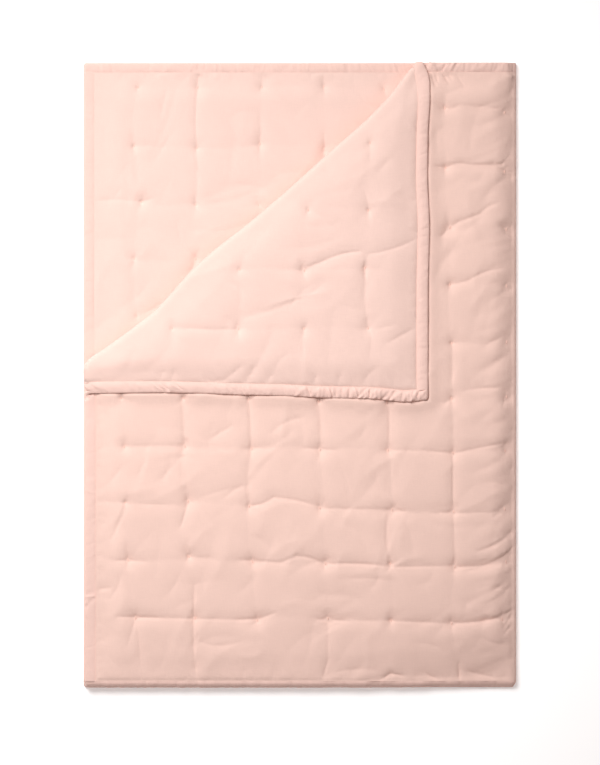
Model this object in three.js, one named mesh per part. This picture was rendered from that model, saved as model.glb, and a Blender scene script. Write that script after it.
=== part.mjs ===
// A tufted child's quilt, bound all round, folded once across its length, with one corner of the upper
// layer turned back. Millimetres, +Z up, lying on its underside. X runs across the folded quilt, with the
// fold at +X. Y runs along the fold, with the head at +Y. The origin is under the middle.
import * as THREE from "three";

// Size of the folded quilt and of its layers
const FOLDED_WIDTH = 694.4;
const QUILT_WIDTH = 1001.6;
const BINDING_WIDTH = 18;
const BINDING_THICKNESS = 11;
const PUFF_THICKNESS = 15;
const LAYER_GAP = 1;
const JOIN_GAP = 0.3;

const LEFT = -FOLDED_WIDTH / 2;
const RIGHT = FOLDED_WIDTH / 2;
const HEAD = QUILT_WIDTH / 2;
const FOOT = -QUILT_WIDTH / 2;

// The fold at the right, and how far the edges of each layer keep the thinness of the binding
const FOLD_RADIUS = (PUFF_THICKNESS + LAYER_GAP) / 2;
const FOLD_SKIN = { crown: 7.3, tuft: 4.6, atEdge: 0.95 };
const FOLD_CLEARANCE = 1.2;
const FOLD_X = RIGHT - FOLD_RADIUS - FOLD_SKIN.atEdge * FOLD_SKIN.crown;
const EDGE_SLOPE = 50;

// The upper layer stops a little short of the lower one at the left
const UPPER_SETBACK = 3;
const LOWER_EDGE = LEFT + BINDING_WIDTH;
const UPPER_EDGE = LEFT + BINDING_WIDTH + UPPER_SETBACK;
const HEAD_EDGE = HEAD - BINDING_WIDTH;
const FOOT_EDGE = FOOT + BINDING_WIDTH;

// The turned-back corner: its right edge, and where its lower edge starts at the left
const FLAP_RIGHT = 206.4;
const FLAP_EDGE = FLAP_RIGHT - BINDING_WIDTH;
const FLAP_FOOT = -28;
const NOTCH = FLAP_FOOT + BINDING_WIDTH;
const CURL_LENGTH = 60;
const ROLL_REACH = 0.93;
const ROLL_CLEARANCE = 0.5;
const ROLL_PINCH = 1.5;
const ROLL_ROUNDING = 24;
const ROLL_SLOPE_STEP = 14;
const TURN_SKIN = { full: 6.4, clearance: 0.6 };

// A bend is thin like the binding up to its least radius and has its full skin a little above that
const FOLD_SWELL = { from: 5.6, over: 2 };
const ROLL_SWELL = { from: 5.5, over: 1.5 };

// Outer line of the rolled fold of the turned-back corner, from the left edge up to the head
const ROLL_LINE = [
  { y: -30, x: -347.2 },
  { y: 8, x: -347.2 },
  { y: 48, x: -304 },
  { y: 117, x: -218 },
  { y: 168, x: -172 },
  { y: 238, x: -86 },
  { y: 347, x: 38 },
  { y: 402, x: 100 },
  { y: 450, x: 149 },
  { y: 483, x: 169 },
  { y: 501, x: 174 },
];

// Lower edge of the turned-back corner, as a drop below its left end
const FLAP_SAG = [
  { x: -347, drop: 0 },
  { x: -220, drop: -2 },
  { x: -96, drop: 1.5 },
  { x: 29, drop: 6 },
  { x: 112, drop: 9 },
  { x: 168, drop: 15 },
  { x: 206, drop: 10 },
];

// Tuft columns. Those of the upper layer lean to +X towards the foot, by so much a millimetre.
const LEAN_FROM = -113.6;
const LOWER_COLUMNS = [
  { x: -262.4, lean: 0 },
  { x: -163.2, lean: 0 },
  { x: -62.4, lean: 0 },
  { x: 40, lean: 0 },
  { x: 137.6, lean: 0 },
  { x: 237, lean: 0 },
];
const UPPER_COLUMNS = [
  { x: -280.8, lean: 0.067 },
  { x: -184.3, lean: 0.061 },
  { x: -80.3, lean: 0.056 },
  { x: 34.6, lean: 0.028 },
  { x: 142.9, lean: 0.011 },
  { x: 245.8, lean: 0.018 },
];
const FLAP_COLUMNS = [
  { x: -203.2, lean: 0 },
  { x: -98.4, lean: 0 },
  { x: 8, lean: 0 },
  { x: 106, lean: 0 },
];

// Cross rows of the mesh: the rows with a tuft in each layer, and the rows at the edges
const ROW_COUNT = 43;
const NOTCH_ROW = 23;
const LOWER_ROWS = [
  { row: 0, y: HEAD_EDGE },
  { row: 1, y: 459.2, tufts: true },
  { row: 5, y: 367.4, tufts: true },
  { row: 9, y: 273.6, tufts: true },
  { row: 13, y: 185.6, tufts: true },
  { row: 17, y: 92.8, tufts: true },
  { row: 21, y: 1.6, tufts: true },
  { row: 25, y: -89.6, tufts: true },
  { row: 29, y: -182, tufts: true },
  { row: 33, y: -273.6, tufts: true },
  { row: 37, y: -365, tufts: true },
  { row: 41, y: -454, tufts: true },
  { row: ROW_COUNT, y: FOOT_EDGE },
];
const UPPER_ROWS = [
  { row: 0, y: HEAD_EDGE },
  { row: 3, y: 426.1, tufts: true },
  { row: 7, y: 332.2, tufts: true },
  { row: 11, y: 234.9, tufts: true },
  { row: 15, y: 145, tufts: true },
  { row: 19, y: 50.6, tufts: true },
  { row: NOTCH_ROW, y: -38.7, tufts: true },
  { row: 27, y: -121.6, tufts: true },
  { row: 31, y: -209.6, tufts: true },
  { row: 35, y: -300.8, tufts: true },
  { row: 39, y: -393.6, tufts: true },
  { row: ROW_COUNT, y: FOOT_EDGE },
];
const FLAP_ROWS = [
  { row: 0, y: HEAD_EDGE },
  { row: 5, y: 369.6, tufts: true },
  { row: 10, y: 264, tufts: true },
  { row: 14, y: 169.6, tufts: true },
  { row: 19, y: 70.6, tufts: true },
  { row: NOTCH_ROW, y: NOTCH },
];
// From this row down, the rows of the turned-back corner bend to its sagging lower edge
const SAG_ROW = 14;
// Towards the left the upper layer's row at the notch rises to meet the turned-back corner
const NOTCH_DRIFT = { from: 60, to: -260, reach: 4 };

// Where the keys of each stretch of a cross row start
const KEY = { lower: 0, fold: 100, upper: 200, roll: 300, flap: 400, end: 500 };

// Mesh columns between one tuft column and the next, from the left edge to the fold
const LOWER_STEPS = [2, 4, 4, 4, 4, 3, 3];
const UPPER_STEPS = [2, 4, 4, 4, 4, 4, 4];
const FLAP_STEPS = [5, 4, 4, 4, 3];
const BEND_STEPS = 6;
const LEAST_STEP = 7;

// The pull of the tufts, and the creases that run from tuft to tuft, as shares of the puff
const TUFT_REACH = 23;
const TUFT_PULL = 0.72;
const CREASE_REACH = 14;
const ROW_CREASE = 0.42;
const COLUMN_CREASE = 0.34;
const TUFT_SKIN = 1.8;
const HIDDEN_RELIEF = 0.35;
const EDGE_PUFF = { start: 0.25, least: 0.4 };
const UNEVENNESS = { middle: 0.7, spread: 0.3, perColumn: 12.9, perRow: 7.7, perLayer: 2.1 };

// The underside is flat where it comes this near to the floor
const FLOOR_REACH = 0.9;

// Steps for slopes: a turn in radians, and a length
const SMALL_TURN = 0.02;
const SMALL_STEP = 0.5;

// Creases that run from no tuft to the next, or more strongly than the rest
const CREASES = [
  { layer: "flap", fromX: 6, fromY: 168, toX: 83, toY: 194, pull: 0.5, reach: 13 },
  { layer: "flap", fromX: 83, fromY: 194, toX: 188, toY: 223, pull: 0.45, reach: 13 },
  { layer: "flap", fromX: -75, fromY: 96, toX: 3, toY: 125, pull: 0.25, reach: 20 },
  { layer: "flap", fromX: 3, fromY: 125, toX: 38, toY: 160, pull: 0.25, reach: 18 },
  { layer: "lower", fromX: -163, fromY: 480, toX: -163, toY: 368, pull: 0.35, reach: 14 },
  { layer: "lower", fromX: -240, fromY: 440, toX: -214, toY: 378, pull: 0.25, reach: 16 },
  { layer: "upper", fromX: 236, fromY: 332, toX: 332, toY: 346, pull: 0.35, reach: 14 },
  { layer: "upper", fromX: 240, fromY: 235, toX: 316, toY: 268, pull: 0.3, reach: 15 },
  { layer: "upper", fromX: 240, fromY: 145, toX: 318, toY: 176, pull: 0.3, reach: 15 },
  { layer: "upper", fromX: -167, fromY: -300, toX: -164, toY: -480, pull: 0.3, reach: 14 },
];

// Section of the binding: distance out from the panel, and half the thickness there
const BINDING_SECTION = [
  { out: JOIN_GAP, half: 4.2 },
  { out: 4.5, half: BINDING_THICKNESS / 2 },
  { out: 12.5, half: 5.1 },
  { out: BINDING_WIDTH, half: 2 },
];

const PINK = 0xf3d2c5;
const BINDING_PINK = 0xf5cdbf;
const CLOTH_ROUGHNESS = 0.9;

const { clamp, lerp } = THREE.MathUtils;
const point = (x, y, z) => new THREE.Vector3(x, y, z);

function smooth(value) {
  const t = clamp(value, 0, 1);
  return t * t * (3 - 2 * t);
}

// Reads a table at a place between two of its rows
function readTable(table, key, value, at) {
  let above = table.findIndex((entry) => entry[key] >= at);
  if (above < 1) above = above < 0 ? table.length - 1 : 1;
  const before = table[above - 1];
  const after = table[above];
  return lerp(before[value], after[value], (at - before[key]) / (after[key] - before[key]));
}

// How far a place is inside an edge, from 0 at the binding to 1 where the layer has its full puff
function insideEdge(...distances) {
  return smooth((Math.min(...distances) - BINDING_WIDTH) / EDGE_SLOPE);
}

// The left edge of the upper layer curls up as it comes to the notch: 0 flat, 1 rolled over
function curl(y) {
  return smooth((y - (FLAP_FOOT - CURL_LENGTH)) / CURL_LENGTH);
}

function flapSag(x) {
  return readTable(FLAP_SAG, "x", "drop", x);
}

// Full thickness of each layer between its dimples
function lowerThickness(x, y) {
  const inside = insideEdge(x - LEFT, HEAD - y, y - FOOT);
  return lerp(BINDING_THICKNESS, PUFF_THICKNESS, inside);
}

function upperThickness(x, y) {
  const rolled = curl(y) * FOLDED_WIDTH;
  const inside = insideEdge(x - LEFT - UPPER_SETBACK + rolled, HEAD - y, y - FOOT);
  return lerp(BINDING_THICKNESS, PUFF_THICKNESS, inside);
}

function flapThickness(x, y) {
  const inside = insideEdge(FLAP_RIGHT - x, HEAD - y, y - FLAP_FOOT + flapSag(x));
  return lerp(BINDING_THICKNESS, PUFF_THICKNESS, inside);
}

// Height of the middle of each layer, stacked from the floor
function lowerHeight(x, y) {
  return lowerThickness(x, y) / 2;
}

function upperHeight(x, y) {
  return lowerThickness(x, y) + LAYER_GAP + upperThickness(x, y) / 2;
}

function flapHeight(x, y) {
  return lowerThickness(x, y) + upperThickness(x, y) + 2 * LAYER_GAP + flapThickness(x, y) / 2;
}

// Where the upper layer starts to roll over: the roll reaches ROLL_LINE, square to that line
function rollLine(y) {
  const shifts = [-1, -0.5, 0, 0.5, 1];
  const places = shifts.map((shift) => readTable(ROLL_LINE, "y", "x", y + shift * ROLL_ROUNDING));
  return places.reduce((sum, x) => sum + x, 0) / shifts.length;
}

function rollStretch(y) {
  const rise = rollLine(y + ROLL_SLOPE_STEP) - rollLine(y - ROLL_SLOPE_STEP);
  return Math.hypot(1, rise / (2 * ROLL_SLOPE_STEP));
}

function rollRadius(x, y) {
  return (flapHeight(x, y) - upperHeight(x, y)) / 2;
}

function rollStart(y) {
  const outer = rollLine(y);
  const stretch = rollStretch(y);
  const radius = rollRadius(outer + PUFF_THICKNESS * stretch, y);
  return outer + stretch * (radius + rollSkin(radius));
}

function rollSkin(radius) {
  return Math.min(TURN_SKIN.full, radius - TURN_SKIN.clearance);
}

// The middle of the quilt's thickness, one piece after the other along the section. Each is a function of
// a place along the section and of Y: X on the three layers, and the angle turned in the two bends.
const middle = {
  lower: (x, y) => point(x, y, lowerHeight(x, y)),
  fold: (angle, y) => {
    const below = lowerHeight(FOLD_X, y);
    const radius = (upperHeight(FOLD_X, y) - below) / 2;
    return point(FOLD_X + radius * Math.sin(angle), y, below + radius * (1 - Math.cos(angle)));
  },
  upper: (x, y) => point(x, y, upperHeight(x, y)),
  roll: (angle, y) => {
    const start = rollStart(y);
    const radius = rollRadius(start, y);
    const out = rollStretch(y) * radius * Math.sin(angle);
    return point(start - out, y, upperHeight(start, y) + radius * (1 - Math.cos(angle)));
  },
  flap: (x, y) => point(x, y, flapHeight(x, y)),
  // The bound left edge of the upper layer, by the distance out from the panel
  edge: (out, y) => {
    const start = lerp(UPPER_EDGE, rollStart(NOTCH), curl(y));
    const radius = rollRadius(rollStart(NOTCH), NOTCH) / Math.max(curl(y), SMALL_TURN);
    const angle = out / radius;
    const height = upperHeight(start, y) + radius * (1 - Math.cos(angle));
    return point(start - radius * Math.sin(angle), y, height);
  },
};

// X falls along the section in the upper layer
const ALONG = { lower: 1, fold: 1, upper: -1, roll: 1, flap: 1, edge: 1 };

// Unit normal on the quilt's reverse side, which faces up in the lower layer and in the turned-back corner
function reverseNormal(part, t, y) {
  const small = part === "fold" || part === "roll" ? SMALL_TURN : SMALL_STEP;
  const along = middle[part](t + small, y).sub(middle[part](t - small, y));
  const across = middle[part](t, y + SMALL_STEP).sub(middle[part](t, y - SMALL_STEP));
  return along.multiplyScalar(ALONG[part]).cross(across).normalize();
}

// A fixed unevenness for each crease, from a faint one to a full one
function uneven(i, j, turn) {
  const phase = UNEVENNESS.perColumn * i + UNEVENNESS.perRow * j + UNEVENNESS.perLayer * turn;
  return UNEVENNESS.middle + UNEVENNESS.spread * Math.sin(phase);
}

function columnPlaces(columns, y) {
  return columns.map((column) => column.x + column.lean * (LEAN_FROM - y));
}

function nearest(places, at) {
  const gaps = places.map((place) => Math.abs(place - at));
  const gap = Math.min(...gaps);
  return { gap, index: gaps.indexOf(gap) };
}

function bell(distance, reach) {
  return Math.exp(-((distance / reach) ** 2));
}

function creasePull(layer, x, y) {
  let pull = 0;
  for (const crease of CREASES.filter((one) => one.layer === layer)) {
    const run = new THREE.Vector2(crease.toX - crease.fromX, crease.toY - crease.fromY);
    const away = new THREE.Vector2(x - crease.fromX, y - crease.fromY);
    const share = clamp(away.dot(run) / run.lengthSq(), 0, 1);
    pull += crease.pull * bell(away.addScaledVector(run, -share).length(), crease.reach);
  }
  return pull;
}

const LAYERS = {
  lower: { columns: LOWER_COLUMNS, rows: LOWER_ROWS, atFold: true, turn: 0 },
  upper: { columns: UPPER_COLUMNS, rows: UPPER_ROWS, atFold: true, turn: 1 },
  flap: { columns: FLAP_COLUMNS, rows: FLAP_ROWS, atFold: false, turn: 2 },
};

// Share of the full puff at a place: 1 on a crown, less along the creases, least at a tuft
function puff(name, x, y) {
  const layer = LAYERS[name];
  const columns = columnPlaces(layer.columns, y);
  if (layer.atFold) columns.push(FOLD_X);
  const rows = layer.rows.filter((entry) => entry.tufts).map((entry) => entry.y);
  const column = nearest(columns, x);
  const row = nearest(rows, y);
  const tuft = bell(Math.hypot(column.gap, row.gap), TUFT_REACH);
  const rowCrease = bell(row.gap, CREASE_REACH) * uneven(column.index, row.index, layer.turn);
  const columnCrease = bell(column.gap, CREASE_REACH) * uneven(row.index, column.index, layer.turn + 1);
  const pulled = TUFT_PULL * tuft + ROW_CREASE * rowCrease + COLUMN_CREASE * columnCrease;
  return clamp(1 - pulled - creasePull(name, x, y), 0, 1);
}

// Half thickness on the side that shows, and on the side pressed against the layer or the floor beneath
function skins(name, x, y, full) {
  const share = puff(name, x, y);
  const inside = (full - BINDING_THICKNESS) / (PUFF_THICKNESS - BINDING_THICKNESS);
  const edge = smooth(inside + EDGE_PUFF.start);
  const crown = lerp(BINDING_SECTION[0].half, full / 2, edge);
  const shown = TUFT_SKIN + (crown - TUFT_SKIN) * lerp(1, share, Math.max(edge, EDGE_PUFF.least));
  const hidden = crown - HIDDEN_RELIEF * (crown - shown);
  return { shown, hidden };
}

// Both faces of the quilt at a place on its middle: reverse side and right side
function faces({ part, t, y }) {
  const centre = middle[part](t, y);
  const normal = reverseNormal(part, t, y);
  let reverse;
  let right;
  if (part === "lower") {
    const skin = skins("lower", t, y, lowerThickness(t, y));
    reverse = skin.shown;
    right = skin.hidden;
  } else if (part === "upper") {
    const skin = skins("upper", t, y, upperThickness(t, y));
    reverse = skin.hidden;
    right = skin.shown;
  } else if (part === "flap") {
    const skin = skins("flap", t, y, flapThickness(t, y));
    reverse = skin.shown;
    right = skin.hidden;
  } else if (part === "fold") {
    const radius = (upperHeight(FOLD_X, y) - lowerHeight(FOLD_X, y)) / 2;
    const skin = lerp(FOLD_SKIN.tuft, FOLD_SKIN.crown, puff("upper", FOLD_X, y));
    reverse = radius - FOLD_CLEARANCE;
    right = lerp(BINDING_SECTION[0].half, skin, smooth((radius - FOLD_SWELL.from) / FOLD_SWELL.over));
  } else {
    const radius = rollRadius(rollStart(y), y);
    const swell = smooth((radius - ROLL_SWELL.from) / ROLL_SWELL.over);
    reverse = Math.min(rollSkin(radius), lerp(BINDING_SECTION[0].half, TURN_SKIN.full, swell));
    right = reverse - ROLL_PINCH;
  }
  const up = centre.clone().addScaledVector(normal, reverse);
  const down = centre.clone().addScaledVector(normal, -right);
  // The underside of the lower layer lies flat on the floor but for its dimples
  const inside = Math.min(t - LOWER_EDGE, HEAD_EDGE - y, y - FOOT_EDGE);
  if (part === "lower" && inside > 1 && down.z < FLOOR_REACH) down.z = 0;
  return { reverse: up, right: down };
}

// Places along X that divide the stretches between the stops into steps
function divide(stops, steps) {
  const places = [stops[0]];
  steps.forEach((count, index) => {
    for (let step = 1; step <= count; step += 1) {
      places.push(lerp(stops[index], stops[index + 1], step / count));
    }
  });
  return places;
}

function upperRowY(row, x) {
  const y = readTable(UPPER_ROWS, "row", "y", row);
  const near = clamp(1 - Math.abs(row - NOTCH_ROW) / NOTCH_DRIFT.reach, 0, 1);
  const left = smooth((NOTCH_DRIFT.from - x) / (NOTCH_DRIFT.from - NOTCH_DRIFT.to));
  const atNotch = readTable(UPPER_ROWS, "row", "y", NOTCH_ROW);
  return y + near * left * (NOTCH - atNotch);
}

function flapRowY(row, x) {
  const low = smooth((row - SAG_ROW) / (NOTCH_ROW - SAG_ROW));
  return readTable(FLAP_ROWS, "row", "y", row) - low * flapSag(x);
}

// One cross row of the panel, from the left edge of the lower layer to the end of the section. Each place
// has a key that grows along the section, so that two rows can be joined where one has fewer places.
function panelRow(row) {
  const places = [];
  const add = (key, part, t, y) => places.push({ key, part, t, y });
  const lowerY = readTable(LOWER_ROWS, "row", "y", row);
  const lowerStops = [LOWER_EDGE, ...columnPlaces(LOWER_COLUMNS, lowerY), FOLD_X];
  divide(lowerStops, LOWER_STEPS).forEach((x, index) => add(KEY.lower + index, "lower", x, lowerY));
  const foldY = readTable(UPPER_ROWS, "row", "y", row);
  for (let step = 1; step < BEND_STEPS; step += 1) {
    const share = step / BEND_STEPS;
    add(KEY.fold + step, "fold", Math.PI * share, lerp(lowerY, foldY, share));
  }
  const turned = row <= NOTCH_ROW;
  const upperStops = [UPPER_EDGE, ...columnPlaces(UPPER_COLUMNS, foldY), FOLD_X];
  const upperPlaces = divide(upperStops, UPPER_STEPS).reverse();
  const rollY = upperRowY(row, row === NOTCH_ROW ? UPPER_EDGE : rollStart(foldY));
  upperPlaces.slice(0, -1).forEach((x, index) => {
    const y = upperRowY(row, x);
    if (!turned || x > rollStart(y) + LEAST_STEP) add(KEY.upper + index, "upper", x, y);
  });
  if (!turned) {
    add(KEY.roll, "upper", UPPER_EDGE, upperRowY(row, UPPER_EDGE));
    return places;
  }
  const flapStartY = flapRowY(row, rollStart(rollY));
  for (let step = 0; step <= BEND_STEPS; step += 1) {
    const share = step / BEND_STEPS;
    add(KEY.roll + step, "roll", Math.PI * share, lerp(rollY, flapStartY, share));
  }
  const flapStops = [LOWER_EDGE, ...columnPlaces(FLAP_COLUMNS, rollY), FLAP_EDGE];
  const flapPlaces = divide(flapStops, FLAP_STEPS);
  flapPlaces.slice(0, -1).forEach((x, index) => {
    const y = flapRowY(row, x);
    const start = rollStart(Math.max(y, flapStartY));
    if (x > start + LEAST_STEP && x < FLAP_EDGE - LEAST_STEP) add(KEY.flap + index, "flap", x, y);
  });
  add(KEY.end, "flap", FLAP_EDGE, flapRowY(row, FLAP_EDGE));
  return places;
}

// Joins two cross rows with triangles that face the reverse side
function joinRows(first, second, triangles) {
  let a = 0;
  let b = 0;
  while (a < first.length - 1 || b < second.length - 1) {
    const nextA = a < first.length - 1 ? first[a + 1].key : Infinity;
    const nextB = b < second.length - 1 ? second[b + 1].key : Infinity;
    if (nextA <= nextB) {
      triangles.push([first[a].id, second[b].id, first[a + 1].id]);
      a += 1;
      if (nextA < nextB) continue;
      triangles.push([first[a].id, second[b].id, second[b + 1].id]);
      b += 1;
    } else {
      triangles.push([first[a].id, second[b].id, second[b + 1].id]);
      b += 1;
    }
  }
}

function meshOf(name, positions, triangles, colour) {
  const geometry = new THREE.BufferGeometry();
  const numbers = positions.flatMap((place) => place.toArray());
  geometry.setAttribute("position", new THREE.Float32BufferAttribute(numbers, 3));
  geometry.setIndex(triangles.flat());
  geometry.computeVertexNormals();
  const finish = { color: colour, roughness: CLOTH_ROUGHNESS, metalness: 0 };
  const mesh = new THREE.Mesh(geometry, new THREE.MeshStandardMaterial(finish));
  mesh.name = name;
  return mesh;
}

// The padded panel: one solid, its reverse side and right side joined round the rim
function quiltPanel() {
  const rows = [];
  for (let row = 0; row <= ROW_COUNT; row += 1) rows.push(panelRow(row));
  const places = rows.flat();
  places.forEach((entry, id) => {
    entry.id = id;
  });
  const reverse = [];
  for (let row = 0; row < ROW_COUNT; row += 1) {
    const upper = row === NOTCH_ROW ? rows[row].filter((entry) => entry.key <= KEY.roll) : rows[row];
    joinRows(upper, rows[row + 1], reverse);
  }
  const count = places.length;
  const right = reverse.map(([a, b, c]) => [a + count, c + count, b + count]);
  const edges = new Set(reverse.flatMap(([a, b, c]) => [`${a},${b}`, `${b},${c}`, `${c},${a}`]));
  const rim = [];
  for (const edge of edges) {
    const [a, b] = edge.split(",").map(Number);
    if (edges.has(`${b},${a}`)) continue;
    rim.push([b, a, a + count], [b, a + count, b + count]);
  }
  const sides = places.map(faces);
  const positions = [...sides.map((side) => side.reverse), ...sides.map((side) => side.right)];
  return meshOf("quilt_panel", positions, [...reverse, ...right, ...rim], PINK);
}

// One cross section of binding, from the panel's edge outwards. The outer end may differ in t and in Y.
function bindingSection(part, t, y, towards) {
  const upper = [];
  const lower = [];
  for (const { out, half } of BINDING_SECTION) {
    const atT = t + towards.t * out;
    const atY = y + towards.y * out;
    const centre = middle[part](atT, atY);
    const normal = reverseNormal(part, atT, atY);
    upper.push(centre.clone().addScaledVector(normal, half));
    lower.push(centre.clone().addScaledVector(normal, -half));
  }
  return [...upper, ...lower.reverse()];
}

// Joins cross sections into one closed strip
function strip(name, sections) {
  const sides = sections[0].length;
  const positions = sections.flat();
  const triangles = [];
  for (let index = 0; index < sections.length - 1; index += 1) {
    for (let side = 0; side < sides; side += 1) {
      const a = index * sides + side;
      const b = index * sides + ((side + 1) % sides);
      triangles.push([a, b, b + sides], [a, b + sides, a + sides]);
    }
  }
  const last = (sections.length - 1) * sides;
  for (let side = 1; side < sides - 1; side += 1) {
    triangles.push([0, side + 1, side], [last, last + side, last + side + 1]);
  }
  const mesh = meshOf(name, positions, triangles, BINDING_PINK);
  if (signedVolume(positions, triangles) < 0) {
    mesh.geometry.setIndex(triangles.flatMap(([a, b, c]) => [a, c, b]));
    mesh.geometry.computeVertexNormals();
  }
  return mesh;
}

function signedVolume(positions, triangles) {
  let sum = 0;
  for (const [a, b, c] of triangles) sum += positions[a].dot(positions[b].clone().cross(positions[c]));
  return sum / 6;
}

const UP = { t: 0, y: 1 };
const DOWN = { t: 0, y: -1 };
const OUT = { t: 1, y: 0 };
const CORNER_FAN = [0.25, 0.5, 0.75];
const ROWS = Array.from({ length: ROW_COUNT + 1 }, (_, row) => row);

// Binding of the head: lower layer, round the fold, upper layer, over the roll, down the flap's right edge
function headBinding() {
  const sections = [bindingSection("lower", LEFT, HEAD_EDGE, UP)];
  for (const { part, t, y } of panelRow(0)) {
    const rolled = part === "roll";
    const clear = rolled ? ROLL_CLEARANCE : 0;
    sections.push(bindingSection(part, t, y + clear, rolled ? { t: 0, y: ROLL_REACH } : UP));
  }
  sections.push(bindingSection("flap", FLAP_EDGE, HEAD_EDGE, { t: Math.SQRT1_2, y: Math.SQRT1_2 }));
  ROWS.slice(0, NOTCH_ROW + 1).forEach((row) => {
    sections.push(bindingSection("flap", FLAP_EDGE, flapRowY(row, FLAP_EDGE), OUT));
  });
  return strip("binding_head", sections);
}

// Binding of the foot: lower layer, round the fold, upper layer
function footBinding() {
  const sections = [bindingSection("lower", LEFT, FOOT_EDGE, DOWN)];
  for (const { part, t, y } of panelRow(ROW_COUNT)) sections.push(bindingSection(part, t, y, DOWN));
  sections.push(bindingSection("upper", LEFT + UPPER_SETBACK, FOOT_EDGE, DOWN));
  return strip("binding_foot", sections);
}

// Binding of the lower layer's left edge
function lowerEndBinding() {
  const sections = ROWS.map((row) => {
    return bindingSection("lower", LOWER_EDGE, readTable(LOWER_ROWS, "row", "y", row), { t: -1, y: 0 });
  });
  return strip("binding_lower_end", sections);
}

// Binding of the upper layer's left edge: it rolls over at the notch and runs on below the flap
function upperEndBinding() {
  const sections = ROWS.slice(NOTCH_ROW + 1)
    .reverse()
    .map((row) => bindingSection("edge", 0, upperRowY(row, UPPER_EDGE), OUT));
  sections.push(bindingSection("edge", 0, FLAP_FOOT - 1, OUT));
  sections.push(bindingSection("edge", 0, NOTCH - ROLL_CLEARANCE, { t: 1, y: -1 }));
  // In the corner the sections fan out over the roll, from the panel to one outer place
  const pastCorner = (BINDING_WIDTH + 1) / rollRadius(rollStart(NOTCH), NOTCH);
  for (const share of CORNER_FAN) {
    const towards = { t: ((1 - share) * pastCorner) / BINDING_WIDTH, y: -1 };
    sections.push(bindingSection("roll", share * pastCorner, NOTCH - ROLL_CLEARANCE, towards));
  }
  const below = panelRow(NOTCH_ROW).filter((entry) => {
    return entry.part === "flap" || (entry.part === "roll" && entry.t > pastCorner);
  });
  sections.push(bindingSection("roll", pastCorner, NOTCH - ROLL_CLEARANCE, DOWN));
  for (const { part, t, y } of below) {
    sections.push(bindingSection(part, t, part === "roll" ? y - ROLL_CLEARANCE : y, DOWN));
  }
  sections.push(bindingSection("flap", FLAP_RIGHT, flapRowY(NOTCH_ROW, FLAP_EDGE), DOWN));
  return strip("binding_upper_end", sections);
}

const quilt = new THREE.Group();
quilt.add(quiltPanel(), headBinding(), footBinding(), lowerEndBinding(), upperEndBinding());

export default quilt;
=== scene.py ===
# %% [markdown]
# # A folded, tufted quilt
# A child's quilt is two squares of cotton with wadding between them. Small tacks of thread hold the three
# together in a grid, and a strip of the same cotton binds the edge. Here it lies folded in half, with one
# corner of the upper layer turned back. The lesson cuts the quilt flat, as a maker would, and then folds
# every point of it with one function, so that the weave, the tacks and the binding all follow the cloth.

import bmesh
import bpy
import numpy as np
from mathutils import Euler, Matrix, Vector
from mathutils.bvhtree import BVHTree


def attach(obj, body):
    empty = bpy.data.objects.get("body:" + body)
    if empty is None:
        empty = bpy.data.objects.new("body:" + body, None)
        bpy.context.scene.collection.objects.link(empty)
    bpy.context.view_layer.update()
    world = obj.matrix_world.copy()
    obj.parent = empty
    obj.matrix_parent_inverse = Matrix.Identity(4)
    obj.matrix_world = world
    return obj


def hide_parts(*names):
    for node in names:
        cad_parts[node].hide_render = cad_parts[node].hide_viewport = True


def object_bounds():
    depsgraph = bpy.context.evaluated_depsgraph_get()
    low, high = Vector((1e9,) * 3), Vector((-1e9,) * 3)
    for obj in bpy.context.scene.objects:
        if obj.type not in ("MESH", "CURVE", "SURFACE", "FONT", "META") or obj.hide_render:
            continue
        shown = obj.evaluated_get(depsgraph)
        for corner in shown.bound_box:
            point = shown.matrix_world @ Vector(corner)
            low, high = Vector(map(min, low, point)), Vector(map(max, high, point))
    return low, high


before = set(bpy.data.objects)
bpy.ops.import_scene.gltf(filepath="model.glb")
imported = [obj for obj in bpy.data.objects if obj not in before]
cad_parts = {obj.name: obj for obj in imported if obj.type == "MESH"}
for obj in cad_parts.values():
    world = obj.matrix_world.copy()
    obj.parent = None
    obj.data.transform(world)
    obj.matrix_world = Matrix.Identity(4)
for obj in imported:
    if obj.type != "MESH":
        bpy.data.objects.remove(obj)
cad_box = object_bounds()
print("frame holds", sorted(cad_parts))

# %% [markdown]
# ## Camera
# The camera looks straight down from far above, with a long lens, so the sides of the quilt stay upright in
# the picture and the near layers hardly look larger than the far ones.

# %% Point the camera straight down
PICTURE_HEIGHT = 1.224
PICTURE_CENTRE = (0.0, -0.012)
CAMERA_HEIGHT = 8.0
SHARP_HEIGHT = 0.028
SENSOR = 36.0

camera_data = bpy.data.cameras.new("camera")
camera_data.sensor_width = SENSOR
camera_data.lens = SENSOR * (CAMERA_HEIGHT - SHARP_HEIGHT) / PICTURE_HEIGHT
camera = bpy.data.objects.new("camera", camera_data)
camera.location = (*PICTURE_CENTRE, CAMERA_HEIGHT)
bpy.context.scene.collection.objects.link(camera)
bpy.context.scene.camera = camera
print("lens", round(camera_data.lens), "mm")

# %% [markdown]
# ## Floor and light
# Quilts like this are shown on white, under one large soft lamp up to the left. The lamp is near, and its
# beam is narrowed, so the far corner gets less light. The room adds a faint warm light. The floor glows a
# little, so that it stays white in the far corner, while the shadow beside the quilt still shows.

# %% Make the floor
FLOOR_SIZE = 12.0
FLOOR_WHITE = (0.93, 0.93, 0.93, 1.0)
FLOOR_GLOW = 0.35


def shader_of(material):
    """The Principled shader of a material."""
    return material.node_tree.nodes["Principled BSDF"]


def new_material(name):
    """An empty material with a Principled shader."""
    material = bpy.data.materials.new(name)
    material.use_nodes = True
    return material


def link_mesh(name, bm):
    """Turns a bmesh into an object at the origin."""
    mesh = bpy.data.meshes.new(name)
    bm.to_mesh(mesh)
    bm.free()
    made = bpy.data.objects.new(name, mesh)
    bpy.context.scene.collection.objects.link(made)
    return made


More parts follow.
